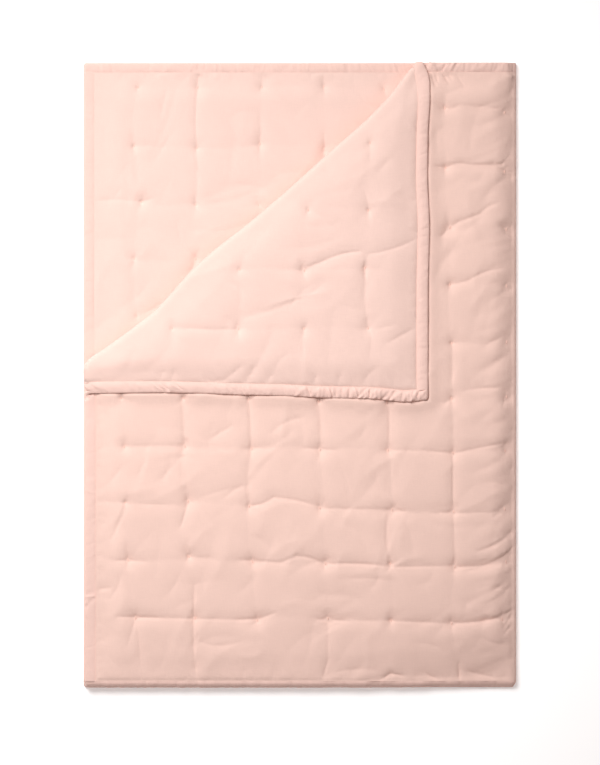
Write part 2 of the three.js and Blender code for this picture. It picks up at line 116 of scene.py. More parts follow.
bm = bmesh.new()
bmesh.ops.create_grid(bm, x_segments=1, y_segments=1, size=FLOOR_SIZE / 2)
floor = link_mesh("floor", bm)
floor_paint = new_material("floor_paint")
shader_of(floor_paint).inputs["Base Color"].default_value = FLOOR_WHITE
shader_of(floor_paint).inputs["Roughness"].default_value = 0.9
shader_of(floor_paint).inputs["Specular IOR Level"].default_value = 0.0
shader_of(floor_paint).inputs["Emission Color"].default_value = (1.0, 1.0, 1.0, 1.0)
shader_of(floor_paint).inputs["Emission Strength"].default_value = FLOOR_GLOW
floor.data.materials.append(floor_paint)

# %% Hang the lamp and light the room
LAMP_PLACE = Vector((-0.8, 1.0, 2.0))
LAMP_AIM = Vector((-0.2, -0.03, 0.0))
LAMP_SIZE = 1.7
LAMP_SPREAD = 70.0
LAMP_POWER = 13.4
ROOM_LIGHT = 0.2
ROOM_COLOUR = (1.0, 0.8, 0.75, 1.0)

lamp_data = bpy.data.lights.new("lamp", "AREA")
lamp_data.shape = "DISK"
lamp_data.size = LAMP_SIZE
lamp_data.energy = LAMP_POWER
lamp_data.spread = np.radians(LAMP_SPREAD)
lamp = bpy.data.objects.new("lamp", lamp_data)
lamp.location = LAMP_PLACE
lamp.rotation_euler = (LAMP_AIM - LAMP_PLACE).to_track_quat("-Z", "Y").to_euler()
bpy.context.scene.collection.objects.link(lamp)

room = bpy.data.worlds.new("room")
room.use_nodes = True
room.node_tree.nodes["Background"].inputs["Color"].default_value = ROOM_COLOUR
room.node_tree.nodes["Background"].inputs["Strength"].default_value = ROOM_LIGHT
bpy.context.scene.world = room
bpy.context.scene.view_settings.view_transform = "Standard"
print("lamp", round(LAMP_PLACE.length, 2), "m away")

# %% [markdown]
# ## The flat quilt
# All shaping below is in millimetres and is scaled to metres when a piece is made. A place on the flat quilt
# is given by two lengths. `across` starts at the open edge of the lower layer, runs to the fold, turns up
# and comes back over the upper layer. `along` is the same as Y.

# %% Sizes of the flat quilt
MM = 0.001
LEFT, FOOT, _ = np.array(cad_box[0]) / MM
RIGHT, HEAD, _ = np.array(cad_box[1]) / MM
BINDING_WIDTH = {"head": 17.5, "foot": 12.5, "end": 19.0}
EDGE_THICKNESS = 11.0
PUFF_THICKNESS = 15.0
EDGE_SLOPE = 45.0
LAYER_GAP = 1.0
SETBACK = 3.0

UPPER_LEFT = LEFT + SETBACK
FOLD_THICKNESS = 7.5
FOLD_SLOPE = 35.0
FOOT_THICKNESS = 14.5
FOOT_REACH = 110.0
FOOT_SHARE = 0.4
FOOT_SLOPE = 10.0
THIN_CORNER = 260.0
CORNER_THICKNESS = 7.5
LONG_SLOPE = 95.0
CREASE_THICKNESS = 11.5
CREASE_SLOPE = 75.0
CORNER_EDGE_SHARE = 0.78
CORNER_EDGE_SLOPE = 60.0
FOLD_RADIUS = (FOLD_THICKNESS + LAYER_GAP) / 2
FOLD_X = RIGHT - FOLD_RADIUS - FOLD_THICKNESS / 2
TURN_START = FOLD_X - LEFT
TURN_END = TURN_START + np.pi * FOLD_RADIUS
TOTAL = TURN_END + FOLD_X - UPPER_LEFT
print("flat quilt", round(TOTAL), "by", round(HEAD - FOOT), "mm")


def smooth(value):
    """Goes from 0 to 1 with soft ends."""
    share = np.clip(value, 0, 1)
    return share * share * (3 - 2 * share)


def lerp(start, end, share):
    return start + (end - start) * share


def rise(value):
    """Goes from 0 to 1 quickly at first and then levels off, as wadding does beside a fold."""
    return 1 - (1 - np.clip(value, 0, 1)) ** 2


def thickness(from_end, along, from_fold):
    """Thickness between the tufts: thin at the binding and at the fold, full between them."""
    full = lerp(FOLD_THICKNESS, PUFF_THICKNESS, rise(from_fold / FOLD_SLOPE))
    inside = smooth((from_end - BINDING_WIDTH["end"]) / EDGE_SLOPE)
    inside = inside * smooth((HEAD - BINDING_WIDTH["head"] - along) / EDGE_SLOPE)
    # The corner between the foot and the fold is the thinnest, and slopes away the most gently
    in_corner = 1 - smooth(from_fold / THIN_CORNER)
    foot_slope = lerp(EDGE_SLOPE, LONG_SLOPE, in_corner)
    inside = inside * smooth((along - FOOT - BINDING_WIDTH["foot"]) / foot_slope)
    foot = lerp(FOOT_THICKNESS, CORNER_THICKNESS, in_corner)
    edge = lerp(foot, EDGE_THICKNESS, smooth((along - FOOT) / FOOT_REACH))
    edge = np.minimum(full, edge)
    return lerp(edge, full, inside) * lerp(FOOT_SHARE, 1, smooth((along - FOOT) / FOOT_SLOPE))


def thickness_below(x, y, left):
    """Thickness of a layer under a place, for a layer that starts at that left edge."""
    return thickness(x - left, y, FOLD_X - x)


# %% [markdown]
# ## Folding
# The fold at the right is a half turn about the edge of the quilt. The corner is turned back about a
# slanting crease. A point beyond the crease swaps its two directions, because the crease runs at nearly 45
# degrees, and near the crease it rides round a half turn. Cloth is soft on the slant, so the crease isn't
# straight: short tables say where the rolled edge and the two bound edges of the corner really lie.
# The roll presses the lower layer thin beside it, and the upper layer swells up beside the bound edges.

# %% Tables for the turned-back corner
CORNER_Y = -28.0
CORNER_RIGHT = 206.4
CREASE_START = np.array([UPPER_LEFT, CORNER_Y])
CREASE_RUN = np.array([CORNER_RIGHT, HEAD]) - CREASE_START
CREASE = CREASE_RUN / np.hypot(*CREASE_RUN)
BEYOND = np.array([-CREASE[1], CREASE[0]])
STRETCH_X = CREASE_RUN[0] / CREASE_RUN[1]
STRETCH_Y = CREASE_RUN[1] / CREASE_RUN[0]
TURNED_WAY = np.array([BEYOND[1] * STRETCH_X, BEYOND[0] * STRETCH_Y])
ROLL_BULGE = 2.2
LEAST_CORNER_WIDTH = 30.0

# Y and X of the rolled edge, from the open edge up to the head
ROLLED_EDGE = np.array([
    (-28, -349), (20, -348.5), (27, -332), (48, -302), (94, -240), (117, -218), (168, -173), (202, -133),
    (238, -86), (291, -24), (347, 38), (402, 101), (450, 148), (474, 170), (487, 181), (501, 188),
])
# Y and X of the corner's right edge
SIDE_EDGE = np.array([
    (-40, 205), (40, 205), (150, 205.2), (232, 207.2), (256, 206.8), (312, 204), (392, 205),
    (435, 208), (468, 208), (487, 199), (501, 198),
])
# X and Y of the corner's lower edge
LOWER_EDGE = np.array([
    (-347, -30), (-224, -28.4), (-160, -29.4), (-96, -32), (-16, -33.6), (29, -36.4), (112, -38),
    (144, -41), (168, -44), (198, -41), (206, -39),
])


def read(table, at):
    """Reads the second column of a table at a value of the first."""
    return np.interp(at, table[:, 0], table[:, 1])


def read_softly(table, at, reach):
    """The same, rounded off over a short reach."""
    return np.mean([read(table, at + reach * share) for share in (-1, -0.5, 0, 0.5, 1)], axis=0)


def crease_x(y):
    return UPPER_LEFT + (y - CORNER_Y) * STRETCH_X


# %% The folding function
EDGE_ROUNDING = 9.0
SHEAR_REACH = 150.0
ROLL_STARTS = 12.0
PRESSED_STARTS = 40.0
PRESSED = 0.34
PRESSED_REACH = 21.0
ROLL_SINKS = 0.4
SWELL_SIDE = 4.4
SWELL_LOW = 5.6
SWELL_BLEND = 40.0
SWELL_START = 4.0
SWELL_REACH = 16.0
SWELL_UNDER = 3.0
TIP_LENGTH = 14.0
TIP_REACH = 56.0
TIP_PUSH = 11.0


def settle(x, y, turned):
    """Moves places of the upper layer from a straight crease to the crease as it lies."""
    shift = read_softly(ROLLED_EDGE, y, EDGE_ROUNDING) + ROLL_BULGE - crease_x(y)
    shift = shift * smooth((y - CORNER_Y) / ROLL_STARTS)
    width = np.maximum(CORNER_RIGHT - crease_x(y), LEAST_CORNER_WIDTH)
    near_crease = 1 - smooth((x - crease_x(y)) / width)
    side = read_softly(SIDE_EDGE, y, EDGE_ROUNDING) - CORNER_RIGHT
    drop = read_softly(LOWER_EDGE, x, EDGE_ROUNDING) - CORNER_Y
    new_x = x + shift * near_crease + side * (1 - near_crease) * turned
    new_y = y + drop * (1 - smooth((y - CORNER_Y) / SHEAR_REACH)) * turned
    # The tip of the corner is thick, so it ends blunt against the head
    pushed = smooth((y - HEAD + TIP_LENGTH + TIP_REACH) / TIP_REACH)
    pushed = pushed * np.clip((HEAD - y) / TIP_LENGTH, 0, 1)
    return new_x, new_y + TIP_PUSH * pushed * smooth(2 * turned)


def under_roll(x, y):
    """Share of the lower layer's thickness that is left under and beside the rolled edge."""
    away = (x - read_softly(ROLLED_EDGE, y, EDGE_ROUNDING) - CREASE_THICKNESS) * CREASE[1]
    return 1 - PRESSED * np.exp(-((away / PRESSED_REACH) ** 2)) * smooth((y - CORNER_Y) / PRESSED_STARTS)


def swell(x, y):
    """How much the upper layer swells up just outside the two bound edges of the corner that lies on it."""
    right = x - read_softly(SIDE_EDGE, y, EDGE_ROUNDING)
    low = read_softly(LOWER_EDGE, x, EDGE_ROUNDING) - y
    outside = np.hypot(np.maximum(right, 0), np.maximum(low, 0)) + np.minimum(np.maximum(right, low), 0)
    past_top = np.maximum(outside + SWELL_UNDER, 0) / SWELL_REACH
    most = lerp(SWELL_SIDE, SWELL_LOW, smooth((low - right) / SWELL_BLEND + 0.5))
    return most * smooth(outside / SWELL_START + 1) * np.exp(-(past_top**2))


def places(across, along):
    """Folds flat places. Gives the middle of the quilt in X, Y and Z, how far it has gone round each of the
    two turns, the bend's radius and the thickness there."""
    swing = np.pi * np.clip((across - TURN_START) / (TURN_END - TURN_START), 0, 1)
    upper = across > TURN_END
    from_fold = np.maximum(TURN_START - across, across - TURN_END)
    own = thickness(np.minimum(across, TOTAL - across), along, from_fold)
    own = own * np.where(across < TURN_START, under_roll(LEFT + across, along), 1)
    radius = (own + LAYER_GAP) / 2
    x = np.where(upper, FOLD_X - (across - TURN_END), np.minimum(LEFT + across, FOLD_X))
    flat_x = x
    x = x + radius * np.sin(swing)
    y = along

    # How far beyond the crease, and the turn about it
    beyond = (flat_x - CREASE_START[0]) * BEYOND[0] + (y - CREASE_START[1]) * BEYOND[1]
    crease_foot = flat_x - beyond * BEYOND[0], y - beyond * BEYOND[1]
    roll_radius = (CREASE_THICKNESS + LAYER_GAP) / 2
    half_turn = np.pi / 2 * roll_radius
    roll = np.where(upper, np.clip((beyond + half_turn) / roll_radius, 0, np.pi), 0)
    reach = np.where(np.abs(beyond) > half_turn, np.abs(beyond), half_turn - roll_radius * np.sin(roll))
    turned = smooth(roll / np.pi)
    way = [lerp(-BEYOND[i], TURNED_WAY[i], turned) for i in (0, 1)]
    x = np.where(upper, crease_foot[0] + reach * way[0], x)
    y = np.where(upper, crease_foot[1] + reach * way[1], y)
    pressed = lerp(CREASE_THICKNESS, PUFF_THICKNESS, rise(reach / CREASE_SLOPE))
    pressed = np.where(upper, pressed, PUFF_THICKNESS)
    own = np.minimum(own, pressed)
    from_edge = np.minimum(TOTAL - across, HEAD - along)
    own = own * lerp(1, lerp(CORNER_EDGE_SHARE, 1, smooth(from_edge / CORNER_EDGE_SLOPE)), turned)
    beneath = np.minimum(thickness_below(x, y, UPPER_LEFT), pressed)
    settled = settle(x, y, turned)
    x = np.where(upper, settled[0], x)
    y = np.where(upper, settled[1], y)
    own = own + np.where(upper & (roll == 0), swell(x, y), 0)

    # Heights of the three layers, one on the other
    bottom = thickness_below(x, y, LEFT) * lerp(1, under_roll(x, y), ROLL_SINKS)
    z = lerp(own / 2, bottom + LAYER_GAP + own / 2, (1 - np.cos(swing)) / 2)
    z = z + (beneath + LAYER_GAP) * (1 - np.cos(roll)) / 2
    return np.stack([x, y, z], axis=1), swing, roll, np.where(roll > 0, roll_radius, radius), own


def reverse_way(across, along):
    """Which way the reverse side faces, from places a little to each side."""
    step = 0.4
    over = places(across + step, along)[0] - places(across - step, along)[0]
    up = places(across, along + step)[0] - places(across, along - step)[0]
    way = np.cross(over, up)
    return way / np.linalg.norm(way, axis=1, keepdims=True)


# %% [markdown]
# ## Tufts and creases
# A tuft pulls both faces together, and the wadding pushes them out between the tufts. The cotton then
# creases between tufts, more in some places than in others, and soft wrinkles slant across the puffs.
# Each crease is a line with a bow, a depth and a width. The strong ones are listed, and a seeded draw adds the
# many faint ones.

# %% Where the tufts are, in X and Y, on each layer as it lies
TUFTS = {
    "lower": [
        (-260, 461), (-164, 461), (-61, 461), (38, 462), (135, 458),
        (-266, 367), (-165, 364), (-64, 370), (38, 362),
        (-254, 277), (-167, 273), (-67, 273),
        (-266, 186), (-167, 186), (-262, 95),
    ],
    "upper": [
        (232, 427), (328, 420), (233, 332), (328, 326), (240, 236), (331, 233),
        (240, 145), (331, 143), (243, 51), (331, 52), (243, -38), (331, -35),
        (-286, -36), (-186, -36), (-82, -38), (30, -42), (140, -44),
        (-281, -115), (-184, -114), (-77, -118), (32, -120), (141, -121), (245, -125), (329, -121),
        (-280, -204), (-179, -202), (-81, -210), (32, -213), (148, -216), (246, -219), (328, -215),
        (-275, -296), (-178, -291), (-76, -299), (41, -302), (145, -302), (248, -307), (330, -299),
        (-263, -389), (-168, -389), (-68, -393), (45, -390), (146, -393), (243, -398), (324, -391),
    ],
    "flap": [
        (112, 371), (13, 263), (109, 263), (-96, 168), (7, 167), (104, 171),
        (-204, 74), (-98, 74), (7, 74), (109, 74),
    ],
    "under": [
        (x, y) for x in (-262, -165, -64, 38, 137, 236, 325)
        for y in (461, 367, 275, 186, 94, 2, -90, -185, -280, -372, -461)
    ],
}
print("tufts", {layer: len(tufts) for layer, tufts in TUFTS.items()})

# %% The main creases
# Columns: start X and Y, end X and Y, bow, depth and width
CREASES = {
    "lower": [
        (-164, 500, -164, 461, 2, 1.6, 7), (-164, 461, -165, 364, -2, 1.9, 6),
        (-165, 364, -167, 273, 2, 1.3, 7), (-169, 490, -161, 464, 3, 1.3, 6),
        (-61, 490, -61, 461, 0, 1.4, 7), (-61, 461, -46, 444, 0, 1.3, 6), (-64, 420, -62, 370, 0, 1.2, 6),
        (38, 478, 40, 444, 0, 1.5, 5), (39, 386, 40, 348, 0, 2.0, 6), (-195, 478, -240, 347, 6, 0.9, 12),
        (-214, 455, -224, 415, 0, 1.2, 10), (-206, 387, -235, 341, 0, 1.0, 9),
        (-326, 279, -256, 277, 3, 1.4, 8), (-298, 284, -286, 301, 0, 0.9, 7),
        (-256, 277, -238, 282, 0, 1.6, 6), (-246, 250, -238, 233, -3, 1.0, 7),
        (-195, 245, -167, 186, -9, 1.3, 9), (-167, 186, -178, 165, 3, 1.3, 7),
        (-167, 233, -70, 250, -8, 1.1, 10), (-150, 273, -40, 310, -6, 1.0, 11),
        (-47, 313, 10, 322, 8, 0.9, 10), (-252, 97, -223, 114, 0, 1.4, 7),
        (-266, 148, -266, 114, 0, 0.8, 8), (-338, 213, -270, 216, 4, 0.7, 9),
        (95, 449, 128, 428, -4, 1.5, 9), (60, 470, 98, 440, 0, 0.9, 10),
        (-110, 415, -75, 421, 4, 0.9, 10), (-64, 385, -64, 348, 0, 1.2, 5),
        (-266, 367, -262, 310, 0, 0.7, 9), (-340, 60, -290, 96, 5, 0.8, 12),
    ],
    "flap": [
        (13, 172, 38, 182, 0, 2.6, 6), (38, 182, 95, 197, 3, 2.8, 6), (112, 193, 183, 216, -3, 2.0, 7),
        (-30, 168, 7, 167, 0, 1.1, 5), (3, 176, 6, 160, 0, 1.8, 5), (-87, 94, 4, 125, -4, 1.6, 12),
        (4, 125, 38, 148, -3, 1.4, 12), (-200, 77, -101, 73, -2, 1.3, 5), (-101, 80, -96, 62, 0, 1.9, 5),
        (-204, 74, -203, 40, 0, 0.8, 6), (7, 74, 10, 28, -5, 1.2, 9), (109, 193, 109, 74, -5, 1.4, 7),
        (104, 178, 110, 148, -3, 1.8, 7), (98, 301, 109, 240, 6, 1.4, 7), (112, 378, 113, 341, 0, 1.7, 5),
        (112, 74, 111, 25, 2, 1.2, 7), (124, 324, 146, 347, 0, 1.4, 11), (32, 284, 95, 296, 4, 0.8, 12),
        (13, 239, 66, 245, -4, 0.9, 12), (-115, 148, -92, 118, 8, 1.3, 12), (140, 51, 181, 74, 0, 1.8, 7),
        (123, 74, 152, 80, 0, 1.2, 7), (-42, 6, -18, 34, 4, 1.1, 10), (-223, -6, -218, 6, 0, 1.2, 3.5),
        (-205, -8, -200, 10, 0, 1.4, 3.5), (-148, -12, -120, -8, 0, 1.6, 4),
        (-120, -8, -92, 16, 0, 1.4, 4), (-86, -10, -72, 14, 0, 1.5, 4), (-52, -12, -44, 4, 0, 1.2, 3.5),
        (22, -12, 28, 4, 0, 1.2, 3.5), (60, -14, 66, 6, 0, 1.3, 3.5), (98, -16, 126, 14, 3, 1.3, 7),
    ],
    "upper": [
        (-282, -44, -281, -115, 0, 0.9, 8), (-189, -36, -184, -114, 0, 2.1, 8),
        (-186, -124, -179, -200, -7, 1.5, 10), (-179, -206, -190, -242, 0, 2.6, 6),
        (-184, -273, -177, -291, 0, 2.2, 5), (-168, -336, -168, -470, -2, 2.4, 5),
        (-81, -40, -78, -115, 0, 1.8, 8), (-78, -122, -81, -207, -4, 1.6, 9),
        (32, -40, 32, -120, 0, 1.3, 9), (35, -126, 37, -208, 0, 0.8, 8), (45, -390, 45, -455, 0, 1.6, 7),
        (143, -43, 143, -118, 0, 2.6, 7), (146, -124, 151, -212, -3, 1.2, 7),
        (141, -226, 145, -300, -4, 2.4, 8), (245, -44, 244, -120, 0, 1.0, 8),
        (245, -130, 245, -217, 0, 2.8, 5), (246, -224, 248, -305, 0, 1.6, 7),
        (243, -402, 249, -460, 0, 0.9, 8), (-281, -114, -184, -112, 0, 1.2, 6),
        (-160, -114, -80, -117, 0, 0.8, 6), (-70, -118, -36, -117, 0, 0.9, 6),
        (4, -117, 61, -121, 0, 1.6, 6), (141, -120, 208, -122, 0, 1.3, 6),
        (208, -122, 244, -126, 0, 2.0, 6), (249, -125, 285, -117, 0, 1.8, 6),
        (285, -117, 327, -109, 0, 2.2, 6), (-330, -202, -280, -205, 0, 0.8, 8),
        (-275, -206, -190, -209, 0, 1.1, 7), (-172, -202, -87, -179, 4, 1.0, 10),
        (-81, -210, -42, -196, -3, 2.2, 6), (-42, -196, 32, -212, 3, 2.2, 7),
        (38, -213, 146, -216, 0, 1.6, 6), (150, -216, 170, -219, 0, 1.4, 6),
        (209, -222, 246, -220, 0, 1.4, 6), (249, -222, 323, -219, 0, 1.5, 6),
        (-303, -296, -246, -299, 0, 1.5, 6), (-172, -291, -138, -293, 0, 1.2, 6),
        (-98, -296, -30, -300, 0, 2.0, 6), (-30, -300, -6, -290, 0, 2.0, 7),
        (-6, -290, 38, -302, 3, 2.2, 7), (44, -302, 146, -307, 2, 2.3, 6),
        (146, -307, 243, -306, 0, 1.9, 6), (249, -307, 322, -301, -3, 1.6, 6),
        (-290, -387, -229, -389, 0, 2.5, 6), (-229, -389, -98, -392, 0, 1.6, 6),
        (-98, -392, -64, -390, 0, 2.6, 6), (-64, -390, -41, -381, 0, 2.2, 6),
        (28, -391, 78, -394, 0, 2.5, 6), (85, -393, 124, -394, 0, 1.6, 6),
        (135, -393, 243, -398, 0, 2.0, 6), (243, -398, 328, -387, -3, 2.0, 6),
        (-143, -102, -109, -81, 0, 1.6, 9), (-45, -92, 5, -68, 5, 1.5, 9),
        (-122, -196, -92, -176, 0, 1.4, 9), (-248, -125, -264, -166, 4, 1.2, 9),
        (-206, -136, -226, -170, 3, 1.2, 10), (-326, -50, -318, -90, 0, 0.9, 10),
        (-284, -146, -303, -172, 0, 1.3, 8), (-283, -222, -300, -262, 0, 2.3, 7),
        (-278, -273, -274, -296, 0, 1.6, 5), (-303, -341, -326, -344, 0, 1.7, 6),
        (-286, -319, -303, -359, 3, 1.8, 7), (-266, -398, -275, -432, 0, 1.4, 5),
        (-260, -398, -254, -466, 0, 1.7, 5), (-160, -427, -87, -421, -9, 1.5, 9),
        (-165, -455, -167, -481, 0, 1.5, 6), (50, -478, 124, -472, 4, 1.2, 8),
        (-189, -313, -218, -358, 3, 1.1, 9), (-155, -313, -155, -364, 0, 1.0, 9),
        (61, -327, 152, -330, 3, 1.2, 9), (61, -353, 96, -356, 0, 0.9, 9),
        (-310, -196, -300, -240, 4, 0.9, 10), (212, 438, 232, 427, 0, 1.5, 6),
        (234, 426, 252, 430, -2, 1.7, 6), (252, 430, 300, 427, 2, 1.4, 7),
        (212, 335, 234, 331, 0, 2.0, 5), (234, 331, 260, 338, 3, 2.4, 5),
        (260, 338, 323, 338, -2, 2.6, 5), (226, 222, 240, 236, 0, 2.6, 5),
        (240, 236, 254, 245, 0, 2.4, 5), (254, 245, 287, 257, 0, 2.4, 6), (287, 257, 314, 275, 2, 2.4, 7),
        (240, 143, 271, 152, 0, 1.9, 5), (271, 152, 322, 171, 3, 2.4, 6), (243, 51, 310, 48, 0, 1.0, 7),
        (244, 45, 244, -28, 0, 1.5, 4), (243, -38, 220, -43, 3, 1.6, 8), (300, 50, 326, 62, 0, 1.4, 6),
        (233, 449, 266, 461, 0, 1.3, 7), (215, 395, 215, 350, 3, 1.0, 9), (290, 400, 322, 404, 0, 1.1, 8),
        (300, -172, 326, -174, 0, 1.2, 6), (120, -160, 138, -190, -4, 1.1, 8),
        (60, -140, 78, -196, 5, 0.9, 9), (96, -250, 108, -290, 0, 0.8, 9),
        (170, -240, 180, -290, 4, 0.9, 9), (300, 429, 328, 419, 2, 1.8, 6),
        (322, 338, 334, 352, 0, 1.6, 5), (316, 331, 328, 326, 0, 1.6, 4), (328, 326, 339, 316, 0, 1.6, 4),
        (331, 233, 340, 222, 0, 2.0, 4), (320, 240, 331, 233, 0, 2.0, 4), (262, -25, 326, -22, 2, 1.6, 6),
        (331, -35, 322, -52, 0, 1.8, 5), (310, -227, 338, -207, 0, 2.0, 5),
        (284, -282, 335, -253, -4, 2.4, 7), (306, -302, 340, -275, -3, 2.4, 5),
        (249, -309, 290, -304, 0, 1.8, 6), (290, -304, 336, -288, -3, 2.4, 5),
        (249, -398, 290, -394, 0, 1.8, 6), (290, -394, 335, -379, -3, 2.6, 5),
        (299, -389, 292, -400, 0, 1.8, 4), (297, -367, 334, -339, -3, 1.6, 8),
        (327, -413, 336, -402, 0, 2.0, 4), (324, -407, 339, -384, 0, 2.0, 5),
        (111, -492, 144, -478, -3, 3.0, 4), (144, -478, 164, -481, 0, 2.6, 4),
        (126, -496, 158, -487, -2, 2.2, 4), (199, -476, 232, -491, -2, 2.4, 5),
        (267, -474, 306, -484, 0, 1.8, 6), (254, -462, 256, -494, 0, 2.6, 4),
        (45, -455, 38, -482, 0, 2.0, 5), (209, 486, 216, 460, 0, 2.4, 4),
        (217, 487, 220, 468, 0, 2.6, 3.5), (226, 488, 238, 466, 0, 2.4, 4),
        (236, 487, 242, 474, 0, 2.2, 3.5), (246, 487, 262, 462, 0, 1.6, 5),
        (282, -340, 330, -345, 4, 1.2, 8), (290, -420, 334, -430, -4, 1.2, 8),
        (180, -430, 230, -440, 5, 1.1, 9),
    ],
}
print("creases", {layer: len(rows) for layer, rows in CREASES.items()})


# %% Depth of one crease
SHARP_SHARE = 0.4
SOFT_SHARE = 1.7
LINE_DEPTH = 0.45
END_DEPTH = 0.6
ROOM_SHARE = 2.5
STRONGER = 1.25


def crease_depth(x, y, start_x, start_y, end_x, end_y, bow, depth, width):
    """Depth of a crease at each place: a sharp line in a soft valley, shallower towards its ends."""
    run = np.array([end_x - start_x, end_y - start_y])
    length = np.hypot(*run)
    share = ((x - start_x) * run[0] + (y - start_y) * run[1]) / length**2
    aside = ((y - start_y) * run[0] - (x - start_x) * run[1]) / length
    inside = np.clip(share, 0, 1)
    middle = 4 * inside * (1 - inside)
    away = np.hypot(aside - bow * middle, (share - inside) * length)
    line = np.exp(-((away / (SHARP_SHARE * width)) ** 2))
    valley = np.exp(-((away / (SOFT_SHARE * width)) ** 2))
    return depth * (END_DEPTH + (1 - END_DEPTH) * middle) * (LINE_DEPTH * line + (1 - LINE_DEPTH) * valley)


def depth_of_all(rows, x, y):
    """Depths of many creases together, each worked out only near its own line."""
    total = np.zeros_like(x)
    for row in rows:
        start_x, start_y, end_x, end_y, bow, _, width = row
        room = ROOM_SHARE * SOFT_SHARE * width + abs(bow)
        near = (x > min(start_x, end_x) - room) & (x < max(start_x, end_x) + room)
        near &= (y > min(start_y, end_y) - room) & (y < max(start_y, end_y) + room)
        if near.any():
            total[near] += crease_depth(x[near], y[near], *row)
    return total


# %% Faint creases: between neighbours, round each tuft, and across the puffs
draw = np.random.default_rng(11)
LINK = {"depth": 0.7, "width": 7.0, "bow": (-5, 5), "uneven": (0.4, 1.4), "farthest": 125.0, "skew": 34.0}
PINCH = {"count": 4, "length": (12, 30), "bow": (-2, 2), "depth": (0.4, 1.1), "width": (3.5, 5.5)}
TUCK_LINE = {"length": (12, 30), "lean": 2.0, "bow": (-1, 1), "depth": (0.7, 1.7), "width": (3.0, 4.0)}
WRINKLES = {"lower": 90, "upper": 340, "flap": 100, "under": 40}
WRINKLE = {
    "length": (24, 100), "bow": (-8, 8), "depth": (0.4, 1.6), "width": (5, 14),
    "slant": 0.85, "spread": 0.6,
}
PUCKER = {"pitch": (9, 24), "length": (6, 18), "bow": (-2, 2), "depth": (0.4, 1.2), "width": (3, 5)}
FOLD_WRINKLE = {
    "pitch": (9, 20), "length": (28, 70), "bow": (-7, 2), "depth": (0.6, 1.6), "width": (4, 7),
    "slant": (0.2, 0.75), "end": (-14, 4), "from_foot": 20, "from_head": 30,
}
NEAR_FOLD = 300.0


def bow_depth_width(kind):
    """Draws the last three columns of one faint crease."""
    return [draw.uniform(*kind[column]) for column in ("bow", "depth", "width")]


def links(tufts):
    """Soft valleys between tufts that are neighbours in a row or a column, but for those along the fold."""
    rows = []
    for first, (x, y) in enumerate(tufts):
        for near_x, near_y in tufts[first + 1 :]:
            wide, tall = abs(near_x - x), abs(near_y - y)
            along_fold = min(x, near_x) > NEAR_FOLD
            if max(wide, tall) < LINK["farthest"] and min(wide, tall) < LINK["skew"] and not along_fold:
                depth = LINK["depth"] * draw.uniform(*LINK["uneven"])
                rows.append((x, y, near_x, near_y, draw.uniform(*LINK["bow"]), depth, LINK["width"]))
    return rows


def pinches(tufts):
    """A short upright line through each tuft, and short sharp creases that run out from it."""
    rows = []
    for x, y in tufts:
        length, lean = draw.uniform(*TUCK_LINE["length"]), draw.normal(0, TUCK_LINE["lean"])
        up = draw.uniform(0.3, 0.7) * length
        rows.append((x - lean, y - length + up, x + lean, y + up, *bow_depth_width(TUCK_LINE)))
        turn = draw.uniform(0, 2 * np.pi)
        for index in range(PINCH["count"]):
            angle = turn + 2 * np.pi * (index + draw.uniform(-0.3, 0.3)) / PINCH["count"]
            length = draw.uniform(*PINCH["length"])
            end = x + length * np.cos(angle), y + length * np.sin(angle)
            rows.append((x, y, *end, *bow_depth_width(PINCH)))
    return rows


def wrinkles(count, low_x, low_y, high_x, high_y):
    """Soft slanting wrinkles, anywhere on a layer."""
    rows = []
    for _ in range(count):
        x, y = draw.uniform(low_x, high_x), draw.uniform(low_y, high_y)
        angle = draw.normal(WRINKLE["slant"], WRINKLE["spread"])
        length = draw.uniform(*WRINKLE["length"])
        end = x + length * np.cos(angle), y + length * np.sin(angle)
        depth = draw.uniform(*WRINKLE["depth"]) * draw.choice([-1, 1])
        rows.append((x, y, *end, draw.uniform(*WRINKLE["bow"]), depth, draw.uniform(*WRINKLE["width"])))
    return rows


def puckers(start, end, inward):
    """Short creases that run inward from a seam between two places."""
    rows = []
    start, end, inward = (np.array(v, dtype=float) for v in (start, end, inward))
    length = np.hypot(*(end - start))
    at = draw.uniform(0, PUCKER["pitch"][1])
    while at < length:
        foot = lerp(start, end, at / length)
        tip = foot + draw.uniform(*PUCKER["length"]) * (inward + draw.normal(0, 0.35) * (end - start) / length)
        rows.append((*foot, *tip, *bow_depth_width(PUCKER)))
        at += draw.uniform(*PUCKER["pitch"])
    return rows


def fold_wrinkles():
    """Slanting wrinkles beside the fold, where the outer cloth is too long for the inner."""
    rows = []
    y = FOOT + FOLD_WRINKLE["from_foot"]
    while y < HEAD - FOLD_WRINKLE["from_head"]:
        length, angle = draw.uniform(*FOLD_WRINKLE["length"]), draw.uniform(*FOLD_WRINKLE["slant"])
        end_x = FOLD_X + draw.uniform(*FOLD_WRINKLE["end"])
        start = end_x - length * np.cos(angle), y - length * np.sin(angle)
        rows.append((*start, end_x, y, *bow_depth_width(FOLD_WRINKLE)))
        y += draw.uniform(*FOLD_WRINKLE["pitch"])
    return rows


FAINT = {}
for layer in TUFTS:
    FAINT[layer] = links(TUFTS[layer]) + pinches(TUFTS[layer])
    lowest = FOOT if layer in ("upper", "under") else CORNER_Y
    FAINT[layer] += wrinkles(WRINKLES[layer], LEFT, lowest, RIGHT, HEAD)

